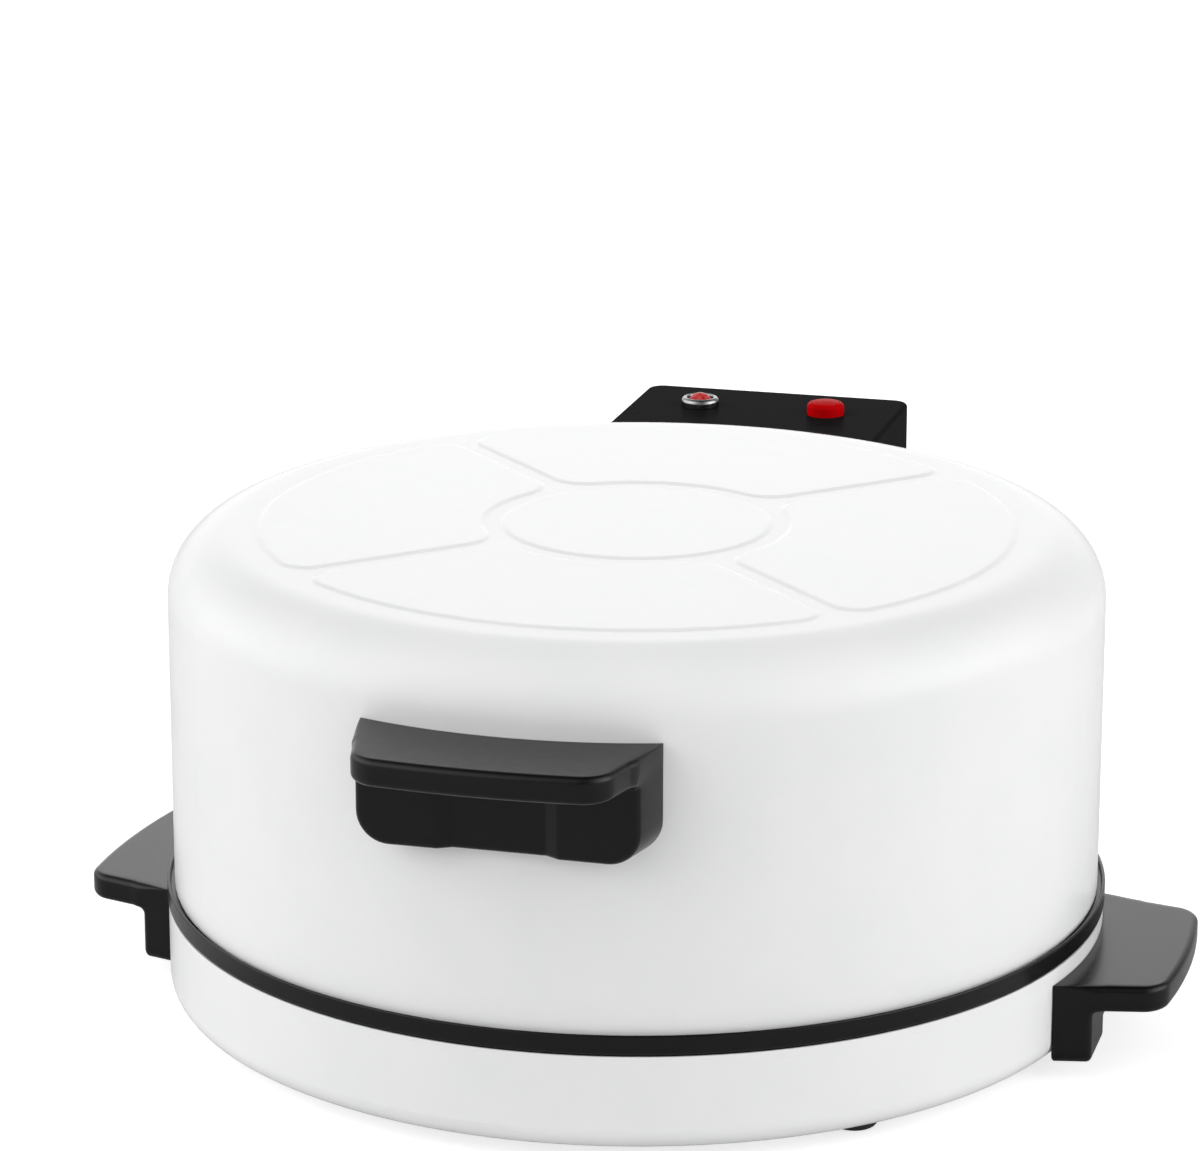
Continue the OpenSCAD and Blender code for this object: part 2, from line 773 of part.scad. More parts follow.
// Calls its children at both legs of an element, along +Y
module at_legs(z) {
  for (s = [-1, 1]) translate([s * leg_x, 0, z]) rotate([-90, 0, 0]) children();
}

module lid_shell() {
  color(white) placed() difference() {
    union() {
      translate([0, 0, lid_z]) cup(lid_r, lid_h, lid_round, sheet_t);
      translate([0, 0, lid_top - sheet_t / 2]) linear_extrude(emboss_h + sheet_t / 2) pattern_2d(0);
    }
    translate([0, 0, lid_top - sheet_t - over]) linear_extrude(emboss_h + over) pattern_2d(sheet_t);
    at_pair(handle_screw_x, lid_r) wall_screw_hole(lid_in_r - over, lid_r + over, front_screw_z);
    for (z = housing_screw_z) turned(180) at_pair(housing_screw_x, lid_r)
      wall_screw_hole(lid_in_r - over, lid_r + over, z);
    at_legs(upper_z) cylinder(r = tube_r + seat_gap, h = lid_r + over);
  }
}

module lid_liner() {
  color(steel) placed() difference() {
    union() {
      translate([0, 0, liner_z]) cup(liner_r, liner_top - liner_z, liner_round, liner_t);
      translate([0, 0, liner_z]) difference() {
        cylinder(r = lid_in_r - seat_gap, h = liner_t);
        translate([0, 0, -over]) cylinder(r = liner_r - liner_t / 2, h = liner_t + 2 * over);
      }
    }
    at_legs(upper_z) cylinder(r = tube_r + seat_gap, h = lid_r);
  }
}

module upper_element() {
  color(sheath) placed() translate([0, 0, upper_z]) element(upper_ring_r, lid_r + housing_wall + over);
}

module upper_clips() {
  color(steel) placed() translate([0, 0, upper_z]) straps(upper_ring_r, upper_drop);
}

module thermostat() {
  color(cream) placed() translate([0, spacer_ring_r / 2, liner_top]) bimetal();
}

module front_handle() {
  color(black) placed() translate([0, 0, front_top_z])
    handle(lid_r, front_root_w, front_tip_w, front_reach, front_h, front_block_t, front_corner);
}

module front_handle_screws() {
  color(steel) placed() at_pair(handle_screw_x, lid_r)
    wall_screw(lid_in_r, lid_r + handle_screw_depth, front_screw_z);
}

// Section of the housing's outer strip, with its inner face at x = 0 and a rounded upper edge
module housing_strip_2d() {
  h = panel_z - housing_z;
  translate([0, housing_z]) can_2d(housing_corner, h, housing_edge);
}

// The housing and its cover as one solid block: a core, and a strip that runs around its sides and its back
module housing_block() {
  side_x = housing_w / 2 - housing_corner;
  front_y = lid_r - lid_round;
  rear_y = housing_back_y - housing_corner;
  translate([-side_x, front_y, housing_z]) cube([2 * side_x, rear_y - front_y, panel_z - housing_z]);
  across(2 * side_x) translate([rear_y, 0]) housing_strip_2d();
  for (s = [0, 1]) mirror([s, 0, 0]) translate([side_x, rear_y, 0]) {
    rotate_extrude(angle = 90) housing_strip_2d();
    rotate([90, 0, 0]) linear_extrude(rear_y - front_y) housing_strip_2d();
  }
}

// The hollow of the housing, which follows the lid's wall at the front
module housing_hollow() {
  w = housing_w - 2 * housing_wall;
  h = panel_z - housing_z - 2 * housing_wall;
  difference() {
    translate([-w / 2, 0, housing_z + housing_wall]) cube([w, housing_back_y, h]);
    cylinder(r = lid_r + seat_gap + housing_wall, h = lid_top);
  }
}

// Side view of a hinge lug: it hangs from the housing's floor and turns on the hinge pin
module lug_2d() {
  root_z = housing_z + housing_wall;
  translate([hinge_y, hinge_z]) circle(knuckle_r);
  polygon([[hinge_y - knuckle_r, hinge_z], [hinge_y + knuckle_r, hinge_z],
           [hinge_y + 2 * knuckle_r, root_z], [lid_r + housing_wall, root_z]]);
}

// Calls its children at the four screws of the back cover, along -Y from the plane y
module at_cover_posts(y) {
  for (s = [-1, 1], z = cover_post_z) translate([s * cover_post_x, y, z]) rotate([90, 0, 0]) children();
}

// Places a piece on the control panel, with the panel's outer face at z = 0
module on_panel(x) {
  translate([x, control_y, panel_z]) children();
}

module control_housing() {
  color(black) placed() difference() {
    union() {
      difference() {
        housing_block();
        housing_hollow();
      }
      at_cover_posts(cover_y) cylinder(r = post_r, h = post_l);
      for (z = housing_screw_z) turned(180) at_pair(housing_screw_x, lid_r)
        spoke_bar(boss_r, lid_r, lid_r + boss_l, z);
      for (s = [-1, 1]) translate([s * (housing_w - lug_t) / 2, 0, 0]) across(lug_t) lug_2d();
    }
    translate([-housing_w, cover_y, 0]) cube([2 * housing_w, housing_d, lid_top]);
    translate([0, 0, -over]) can(lid_r + seat_gap, lid_top + over + seat_gap, lid_round + seat_gap);
    cylinder(r = lid_r - panel_lap, h = lid_top);
    at_cover_posts(cover_y + over) cylinder(r = screw_r + seat_gap / 2, h = cover_screw_l + over);
    for (z = housing_screw_z) turned(180) at_pair(housing_screw_x, lid_r)
      spoke_bar(screw_r + seat_gap / 2, lid_r - over, lid_r + boss_l + over, z);
    at_legs(upper_z) cylinder(r = tube_r + seat_gap, h = lid_r + 2 * boss_l);
    hinge_bar(pin_r + pin_clear, -housing_w, housing_w);
    on_panel(-control_x) cylinder(r = sleeve_r + seat_gap, h = 4 * housing_wall, center = true);
    on_panel(control_x) cylinder(r = button_r + button_clear, h = 4 * housing_wall, center = true);
  }
}

module housing_screws() {
  color(steel) placed() for (z = housing_screw_z) turned(180) at_pair(housing_screw_x, lid_r)
    wall_screw(lid_in_r, lid_r + boss_l - over, z);
}

module back_cover() {
  color(black) placed() difference() {
    intersection() {
      housing_block();
      translate([-housing_w, cover_y, 0]) cube([2 * housing_w, housing_d, lid_top]);
    }
    at_cover_posts(housing_back_y + over) cylinder(r = screw_r + seat_gap, h = cover_t + 2 * over);
    at_cover_posts(housing_back_y + over) cylinder(r = head_r + seat_gap, h = head_h + head_sink + over);
  }
}

module cover_screws() {
  color(steel) placed() at_cover_posts(housing_back_y - head_sink)
    upright_screw(cover_t + cover_screw_l - over);
}

module lamp_bezel() {
  window_r = lens_r + 1.2;
  window_h = 1.4;
  color([0.85, 0.86, 0.88]) placed() on_panel(-control_x) difference() {
    union() {
      can(bezel_r, bezel_rise, bezel_edge);
      translate([0, 0, -sleeve_l]) cylinder(r = sleeve_r, h = sleeve_l + bezel_rise / 2);
    }
    translate([0, 0, -sleeve_l - over]) cylinder(r = lens_r + seat_gap, h = sleeve_l + bezel_rise + 2 * over);
    translate([0, 0, bezel_rise - window_h]) cylinder(r = window_r, h = window_h + over);
  }
}

module lamp_lens() {
  h = lens_sink + lens_rise;
  dome_r = 1.2 * lens_r;
  color(red) placed() on_panel(-control_x) translate([0, 0, -lens_sink]) rotate_extrude() {
    square([lens_r, lens_sink]);
    intersection() {
      square([lens_r, h]);
      translate([0, h - dome_r]) circle(dome_r);
    }
  }
}

module lamp_nut() {
  nut_grip = 3.6;
  nut_r = sleeve_r + nut_grip;
  nut_z = -housing_wall - seat_gap / 2 - nut_t;
  color(steel) placed() on_panel(-control_x) translate([0, 0, nut_z]) difference() {
    cylinder(r = nut_r, h = nut_t, $fn = 6);
    translate([0, 0, -over]) cylinder(r = sleeve_r + seat_gap / 2, h = nut_t + 2 * over);
  }
}

module lamp_body() {
  body_l = 26;
  tab = [0.8, 3, 6];
  color([0.85, 0.85, 0.80]) placed() on_panel(-control_x) translate([0, 0, -lens_sink - body_l]) {
    cylinder(r = lens_r, h = body_l - seat_gap / 2);
    for (s = [-1, 1]) translate([(s * lens_r - tab.x) / 2, -tab.y / 2, -tab.z]) cube(tab + [0, 0, over]);
  }
}

module switch_body() {
  pocket_z = button_skirt + button_travel + seat_gap * 3;
  bore_z = pocket_z + stem_l;
  color([0.15, 0.15, 0.16]) placed() on_panel(control_x) difference() {
    translate([-switch_w / 2, -switch_w / 2, -housing_wall - seat_gap / 2 - switch_l])
      cube([switch_w, switch_w, switch_l]);
    translate([0, 0, -pocket_z]) cylinder(r = button_r + button_clear, h = pocket_z);
    translate([0, 0, -bore_z]) cylinder(r = stem_r + button_clear, h = bore_z);
  }
}

module power_button() {
  color(red) placed() on_panel(control_x) {
    translate([0, 0, -button_skirt]) can(button_r, button_skirt + button_rise, button_edge);
    translate([0, 0, -button_skirt - stem_l]) cylinder(r = stem_r, h = stem_l + over);
  }
}

base_shell();
rim_ring();
baking_plate();
lower_reflector();
lower_element();
lower_clips();
pan_spacers();
pan_screws();
thermal_cutout();
terminal_block();
rubber_feet();
foot_screws();
left_side_handle();
right_side_handle();
side_handle_screws();
hinge_bracket();
bracket_screws();
hinge_pin();
pin_clip();
cord_gland();
lid_shell();
lid_liner();
upper_element();
upper_clips();
thermostat();
front_handle();
front_handle_screws();
control_housing();
housing_screws();
back_cover();
cover_screws();
lamp_bezel();
lamp_lens();
lamp_nut();
lamp_body();
switch_body();
power_button();
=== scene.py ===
"""Round electric pizza oven: a white enamelled base and lid, black moulded handles, a rear control housing.

Sizes are in millimetres, in the part's own frame: +Z is up and the front handle points along -Y.
"""
import json

import bmesh
import bpy
import numpy as np
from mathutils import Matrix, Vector


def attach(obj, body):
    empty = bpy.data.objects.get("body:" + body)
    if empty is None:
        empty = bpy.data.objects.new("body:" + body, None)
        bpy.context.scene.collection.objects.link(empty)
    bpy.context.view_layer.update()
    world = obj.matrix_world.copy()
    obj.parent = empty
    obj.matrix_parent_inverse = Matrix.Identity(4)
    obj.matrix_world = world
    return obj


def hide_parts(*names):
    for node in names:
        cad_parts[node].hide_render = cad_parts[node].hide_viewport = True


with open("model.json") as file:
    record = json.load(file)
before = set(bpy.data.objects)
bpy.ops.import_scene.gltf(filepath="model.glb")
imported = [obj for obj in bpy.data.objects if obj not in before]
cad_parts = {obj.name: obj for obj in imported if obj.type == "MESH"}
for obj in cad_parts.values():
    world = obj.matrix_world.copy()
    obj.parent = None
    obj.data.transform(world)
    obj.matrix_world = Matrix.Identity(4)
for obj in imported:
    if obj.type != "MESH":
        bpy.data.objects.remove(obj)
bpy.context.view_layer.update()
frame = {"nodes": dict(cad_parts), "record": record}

MM = 0.001

# Lid and the pattern pressed into its top, which is as faint here as in the photograph
LID_R = 210.0
LID_H = 163.0
LID_ROUND = 29.0
LID_GAP = 0.4
SHEET = 0.8
EMBOSS = 0.85
EMBOSS_RAMP = 3.1
EMBOSS_MARGIN = 41.0
CENTRE_R = 60.0
CHANNEL_W = 9.0
FIELD_CORNER = 14.0
FIELDS = 4
FIELD_R = LID_R - EMBOSS_MARGIN
FIELD_IN_R = CENTRE_R + CHANNEL_W
PATTERN_END_R = FIELD_R + 4.0
CHANNEL_BAND = 20.0
CHANNEL_LINES = 61
FAN_LINES = 24

# Base, rim ring and baking plate
FOOT_H = 8.0
BASE_H = 43.0
BASE_PROUD = 3.0
RIM_H = 9.5
RIM_PROUD = 0.5
RIM_UNDERCUT = 1.1
LIP_T = 1.6
GROOVE_D = 2.3
LEDGE_W = 6.0
LEDGE_T = 4.0
PLATE_INSET = 9.0
PLATE_LIFT = 0.6
PLATE_GAP = 0.4
PLATE_T = 5.0
BEAD_H = 1.2
BEAD_W = 5.0
BEAD_TOP_W = 4.0
BASE_R = LID_R + BASE_PROUD
BASE_TOP = FOOT_H + BASE_H
RIM_R = BASE_R + RIM_PROUD
RIM_TOP = BASE_TOP + RIM_H
DECK_Z = RIM_TOP - GROOVE_D
PLATE_R = LID_R - PLATE_INSET
PLATE_Z = BASE_TOP + PLATE_LIFT
LID_Z = DECK_Z + LID_GAP
LID_TOP = LID_Z + LID_H

# Handles
SEAT = 0.2
GRIP_T = 12.0
GRIP_EDGE = 3.0
GRIP_CORNER = 10.0
GRIP_BOW = 4.0
GRIP_SHARP = 25.0
BLOCK_EDGE = 2.6
WALL_EDGE = 0.4
INNER_FILLET = 3.0
RECESS_HALF = 20.0
RECESS_SLOPE = 6.0
RECESS_D = 3.4
ROOT_BACK = 10.0
WALL_TAPER_Y = 1.0 - ROOT_BACK
FRONT_GRIP = {"wall_r": LID_R, "root_w": 130.0, "tip_w": 106.0, "reach": 45.0, "height": 47.0,
              "block_t": 12.0, "block_corner": 14.0}
SIDE_GRIP = {"wall_r": BASE_R, "root_w": 124.0, "tip_w": 104.0, "reach": 42.0, "height": 36.0,
             "block_t": 8.0, "block_corner": 4.0}
FRONT_TOP_Z = LID_Z + 128.0
SIDE_TOP_Z = BASE_TOP - 7.0
RIGHT_GRIP_ANGLE = 90.0
LEFT_GRIP_ANGLE = -93.5

# Control housing, lamp and button
HOUSING_D = 71.0
PANEL_DROP = 6.0
CONTROL_OUT = 33.0
CONTROL_X = 32.0
BEZEL_R = 9.3
BEZEL_RISE = 4.6
LENS_R = 5.4
LENS_RISE = 6.6
LENS_SINK = 4.0
LENS_BEVEL = 0.1
LENS_FACETS = 12
LENS_DOME_R = 1.2 * LENS_R
SLEEVE_R = LENS_R + 1.8
SLEEVE_L = 12.0
WELL_R = LENS_R + 1.2
WELL_FOOT_R = LENS_R + 1.1
WELL_D = 2.6
WELL_FLOOR_D = 2.7
BUTTON_R = 9.2
BUTTON_RISE = 6.4
BUTTON_SKIRT = 5.0
BUTTON_EDGE = 2.4
BUTTON_DOME = 0.5
BUTTON_BEVEL = 0.3
STEM_R = 3.0
STEM_L = 8.0
STEM_BEVEL = 0.1
BODY_Y = -(HOUSING_D - FRONT_GRIP["reach"]) / 2
CONTROL_Y = BODY_Y + LID_R + CONTROL_OUT
PANEL_Z = LID_TOP - PANEL_DROP

# Screws of the back cover
SCREW_HEAD_R = 4.0
SCREW_HEAD_T = 1.9
SCREW_BEVEL = 0.15
SCREW_DOME = 0.7
SCREW_CUT = 1.1
SCREW_ARM_W = 1.0
SCREW_ARM_L = 2.3
SCREW_ARM_SLOPE = 0.2
SCREW_END_SLOPE = 0.35
SCREW_R = 2.0
SCREW_L = 16.5
COVER_SCREW_SINK = 0.8
COVER_SCREW_Y = BODY_Y + LID_R + HOUSING_D - COVER_SCREW_SINK
# Each screw's place across, its height and its cross's turn in degrees
COVER_SCREWS = ((-54.0, 73.5, 10.0), (54.0, 73.5, 62.0), (-54.0, 210.1, 35.0), (54.0, 210.1, 81.0))

# Floor, light and camera: the camera's places are in metres
FLOOR_HALF = 6000.0
FLOOR_Z = -0.05
FLOOR_GLOW = 0.68
LIGHT_FOCUS = 6.0
LENS_LENGTH = 137.44
SENSOR_WIDTH = 36.0
FAR_CLIP = 50.0
CAMERA_AT = (0.5086, -1.9244, 0.7655)
CAMERA_AIM = (-0.01585, -0.0172, 0.197)


# Points, faces and pieces

def ring_faces(rows):
    """Quads between neighbouring rows of point numbers, where each row closes on itself."""
    after = np.roll(rows, -1, axis=1)
    return np.stack([rows[:-1], after[:-1], after[1:], rows[1:]], axis=-1).reshape(-1, 4)


def patch_faces(rows):
    """Quads between neighbouring rows and columns of point numbers, open at the border."""
    return np.stack([rows[:-1, :-1], rows[:-1, 1:], rows[1:, 1:], rows[1:, :-1]], axis=-1).reshape(-1, 4)


def border_of(grid):
    """Point numbers round the border of a grid, in order."""
    return np.concatenate([grid[0, :-1], grid[:-1, -1], grid[-1, :0:-1], grid[:0:-1, 0]])


def polar(radius, angle, z):
    """A grid of points at x = r cos a, y = r sin a and z."""
    x, y = radius * np.cos(angle), radius * np.sin(angle)
    return np.stack([x, y, np.broadcast_to(z, x.shape)], axis=-1)


def wrapped(grid, closed=False):
    """Points and quads of a grid whose rows go round an axis. If closed, the last row joins the first."""
    rows = np.arange(grid.shape[0] * grid.shape[1]).reshape(grid.shape[:2])
    if closed:
        rows = np.concatenate([rows, rows[:1]])
    return grid.reshape(-1, 3), ring_faces(rows)


def round_angles(columns):
    """Even angles round a whole turn."""
    return np.linspace(0, 2 * np.pi, columns, endpoint=False)


def welded(points, quads):
    """Merges points that coincide, and makes a triangle of each quad that loses a corner."""
    _, first, where = np.unique(np.round(points, 4) + 0.0, axis=0, return_index=True, return_inverse=True)
    corners = where.reshape(-1)[quads]
    same = corners == np.roll(corners, -1, axis=1)
    lost = same.sum(axis=1)
    thin = corners[lost == 1][~same[lost == 1]].reshape(-1, 3)
    return first, corners[lost == 0].tolist() + thin.tolist()


def piece(name, points, quads, slot, body, *nodes, edge=None, sharp=40.0):
    """A closed mesh from points in millimetres, with its faces turned outwards and shaded smooth.

    edge gives each point's share of the painted edge highlight, from 0 to 1. Edges past sharp degrees stay
    sharp.
    """
    first, faces = welded(points, quads)
    mesh = bpy.data.meshes.new(name)
    mesh.from_pydata((points[first] * MM).tolist(), [], faces)
    shell = bmesh.new()
    shell.from_mesh(mesh)
    bmesh.ops.recalc_face_normals(shell, faces=shell.faces)
    shell.to_mesh(mesh)
    shell.free()
    mesh.shade_smooth()
    mesh.set_sharp_from_angle(angle=np.radians(sharp))
    if edge is not None:
        # Each point's share of the painted edge highlight, which the finishes read
        highlight_attribute = mesh.attributes.new("highlight_edge_share", "FLOAT", "POINT")
        highlight_attribute.data.foreach_set("value", edge[first].astype(np.float32))
    made = bpy.data.objects.new(name, mesh)
    bpy.context.scene.collection.objects.link(made)
    mesh.materials.append(finishes[slot])
    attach(made, body)
    if nodes:
        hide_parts(*nodes)


def on_body(points):
    """Moves points from the round body's axis to the part's frame."""
    return points + [0.0, BODY_Y, 0.0]


def on_panel(points, x):
    """Moves points from a control's own axis, with the panel at z = 0, to the control panel."""
    return points + [x, CONTROL_Y, PANEL_Z]


def faced(points, angle, z):
    """Turns a piece made along -Y towards +X by an angle, lifts it and moves it to the part's frame."""
    c, s = np.cos(np.radians(angle)), np.sin(np.radians(angle))
    return on_body(points @ np.array([[c, s, 0], [-s, c, 0], [0, 0, 1]]) + [0, 0, z])


# Shapes

def smooth(t):
    """Smooth step from 0 to 1."""
    t = np.clip(t, 0, 1)
    return t * t * (3 - 2 * t)


def rounded_profile(corners, steps=6, support=0.35):
    """Closed section from corners (r, z, radius): each corner becomes an arc that touches both edges.

    The arc's middle lies on the corner's bisector. One more point on each side keeps the flats flat.
    """
    corners = np.asarray(corners, float)
    here, radius = corners[:, :2], corners[:, 2]
    back, ahead = np.roll(here, 1, axis=0) - here, np.roll(here, -1, axis=0) - here
    back /= np.linalg.norm(back, axis=1, keepdims=True)
    ahead /= np.linalg.norm(ahead, axis=1, keepdims=True)
    half = np.arccos(np.clip((back * ahead).sum(axis=1), -1, 1)) / 2
    reach = radius / np.tan(half)
    bisector = (back + ahead) / np.linalg.norm(back + ahead, axis=1, keepdims=True)
    middle = here + bisector * (radius / np.sin(half))[:, None]
    start, end = here + back * reach[:, None] - middle, here + ahead * reach[:, None] - middle
    turn = np.pi - 2 * half
    t = np.linspace(0, 1, steps + 1)
    weight_start = np.sin(np.outer(turn, 1 - t)) / np.sin(turn)[:, None]
    weight_end = np.sin(np.outer(turn, t)) / np.sin(turn)[:, None]
    arc = middle[:, None] + start[:, None] * weight_start[..., None] + end[:, None] * weight_end[..., None]
    before = (here + back * (reach + support)[:, None])[:, None]
    behind = (here + ahead * (reach + support)[:, None])[:, None]
    return np.concatenate([before, arc, behind], axis=1).reshape(-1, 2)


def turned(profile, columns, closed=True):
    """A section (r, z) carried round the Z axis. An open section starts and ends on the axis."""
    return wrapped(polar(profile[:, :1], round_angles(columns), profile[:, 1:]), closed)


def pressed_height(x, y):
    """Height of the lid's pressed pattern: a round field and four fields with rounded corners round it.

    The distance inside a field is the least distance to its two arcs and its channel sides. Near a
    corner of radius c it is c - |(c - a, c - b)|, where a and b are the two distances. The height
    rises with a smooth step over the ramp.
    """
    r = np.hypot(x, y)
    turn = 2 * np.pi / FIELDS
    angle = np.arctan2(y, x) % turn - turn / 2
    arc = np.minimum(FIELD_R - r, r - FIELD_IN_R)
    side = np.abs(r * np.sin(angle)) - CHANNEL_W / 2
    c = FIELD_CORNER
    corner = c - np.hypot(c - arc, c - side)
    inside = np.where((arc < c) & (side < c), corner, np.minimum(arc, side))
    inside = np.maximum(inside, CENTRE_R - r)
    return EMBOSS * smooth(inside / EMBOSS_RAMP + 0.5)


def lid_columns(r):
    """Angles of the lid's columns at the radii r: close lines along each channel, and a fan between them.

    A line at the offset d from a channel lies at the angle asin(d / r) from it, so it stays straight.
    """
    turn = 2 * np.pi / FIELDS
    offset = np.linspace(-CHANNEL_BAND, CHANNEL_BAND, CHANNEL_LINES)
    near = np.arcsin(offset / np.maximum(r, CENTRE_R)[:, None])
    share = np.linspace(0, 1, FAN_LINES + 2)[1:-1]
    fan = near[:, -1:] * (1 - share) + (turn + near[:, :1]) * share
    one = np.concatenate([near, fan], axis=1)
    return np.concatenate([one + turn * (k + 0.5) for k in range(FIELDS)], axis=1)


def lid_cover():
    """The lid as one closed sheet: wall, shoulder and pressed top outside, and the same drawn in inside.

    The section runs up the wall, round the shoulder by r = R - e + e cos a, z = top - e + e sin a,
    and over the top to the axis. The inside is moved by the sheet's thickness along the section's normal.
    The rows lie close together at the pattern's ramps and corners.
    """
    wall_z = np.append(LID_Z + np.array([0.25, 0.8, 4, 30, 70, 105]), LID_TOP - LID_ROUND - 4)
    a = np.linspace(0, np.pi / 2, 22)
    stretches = ((LID_R - LID_ROUND - 2, PATTERN_END_R, 4), (FIELD_R + 2.6, FIELD_R - 18, 34),
                 (FIELD_R - 20, FIELD_IN_R + 19, 10), (FIELD_IN_R + 17, CENTRE_R - 3, 46),
                 (CENTRE_R - 6, 0, 7))
    top_r = np.concatenate([np.linspace(*stretch) for stretch in stretches])
    r = np.concatenate([np.full(len(wall_z), LID_R), LID_R - LID_ROUND + LID_ROUND * np.cos(a), top_r])
    z = np.concatenate([wall_z, LID_TOP - LID_ROUND + LID_ROUND * np.sin(a), np.full(len(top_r), LID_TOP)])
    lean = np.concatenate([np.zeros(len(wall_z)), a, np.full(len(top_r), np.pi / 2)])
    in_r, in_z = r - SHEET * np.cos(lean), z - SHEET * np.sin(lean)
    in_r[-1] = 0.0
    edge_r = LID_R - SHEET * np.array([0.15, 0.85])
    all_r = np.concatenate([edge_r[:1], r, in_r[::-1], edge_r[1:]])[:, None]
    all_z = np.concatenate([[LID_Z], z, in_z[::-1], [LID_Z]])[:, None]
    source = np.concatenate([r[:1], r, r[::-1], r[:1]])
    angle = lid_columns(source)
    source = source[:, None]
    pressed = pressed_height(source * np.cos(angle), source * np.sin(angle))
    return wrapped(polar(all_r, angle, all_z + np.where(source < PATTERN_END_R, pressed, 0.0)), closed=True)


def ring_section():
    """Section of the rim ring: a ledge under the plate, a deck, and a lip outside the lid's edge."""
    ledge_r, ledge_z, foot_r = PLATE_R - LEDGE_W, BASE_TOP - LEDGE_T, BASE_R - SHEET - SEAT
    under_z, lip_r, deck_r = BASE_TOP + RIM_UNDERCUT, RIM_R - LIP_T, PLATE_R + PLATE_GAP
    return rounded_profile([
        (ledge_r, ledge_z, 0.4), (foot_r, ledge_z, 0.4), (foot_r, under_z, 0.05), (RIM_R, under_z, 0.6),
        (RIM_R, RIM_TOP, 0.75), (lip_r, RIM_TOP, 0.75), (lip_r, DECK_Z, 0.3), (deck_r, DECK_Z, 0.6),
        (deck_r, BASE_TOP, 0.2), (ledge_r, BASE_TOP, 0.4)], support=0.05)


def plate_section():
    """Section of the baking plate: a flat disc with a bead round its edge."""
    top_z, bead_z = PLATE_Z + PLATE_T, PLATE_Z + PLATE_T + BEAD_H
    return rounded_profile([
        (0.0, PLATE_Z, 0.0), (PLATE_R, PLATE_Z, 0.5), (PLATE_R, bead_z, 1.2),
        (PLATE_R - BEAD_TOP_W, bead_z, 1.2), (PLATE_R - BEAD_W, top_z, 1.0), (0.0, top_z, 0.0)], support=0.3)


def moulded(place, in_edge, out_edge, turns=6):
    """Closed body between an inner and an outer face, with rounded edges round its border.

    place(inset) gives both faces as grids whose border is drawn in by inset. At the angle a of an edge
    the border is drawn in by edge (1 - sin a) and lies edge (1 - cos a) from the face. Both edges may
    change from row to row. Also gives each point's share of the painted edge highlight.
    """
    angle = np.linspace(0, np.pi / 2, turns + 1)
    inner_cap = place(in_edge)[0]
    outer_cap = place(out_edge)[1]
    rows, columns = inner_cap.shape[:2]
    count = rows * columns
    grid = np.arange(count).reshape(rows, columns)
    border = border_of(grid)

    def edge_row(edge, a, side):
        """The border's points at the angle a of the edge of one face."""
        faces = place(edge * (1 - np.sin(a)))
        way = faces[1 - side] - faces[side]
        way /= np.linalg.norm(way, axis=-1, keepdims=True)
        return (faces[side] + way * (edge * (1 - np.cos(a)))[:, None, None]).reshape(-1, 3)[border]

    rings = [edge_row(in_edge, a, 0) for a in angle[1:]] + [edge_row(out_edge, a, 1) for a in angle[:0:-1]]
    ring_rows = count + np.arange(len(rings) * len(border)).reshape(len(rings), -1)
    last = count + ring_rows.size
    bands = np.concatenate([border[None], ring_rows, last + border[None]])
    quads = np.concatenate([patch_faces(grid), ring_faces(bands), patch_faces(last + grid)])
    points = np.concatenate([inner_cap.reshape(-1, 3), np.concatenate(rings), outer_cap.reshape(-1, 3)])
    # Share of the painted edge highlight: most halfway round each rounded edge, none on the faces
    edge_highlight_share = np.repeat(np.tile(np.sin(2 * angle[1:]), 2), len(border))
    return points, quads, np.concatenate([np.zeros(count), edge_highlight_share, np.zeros(count)])


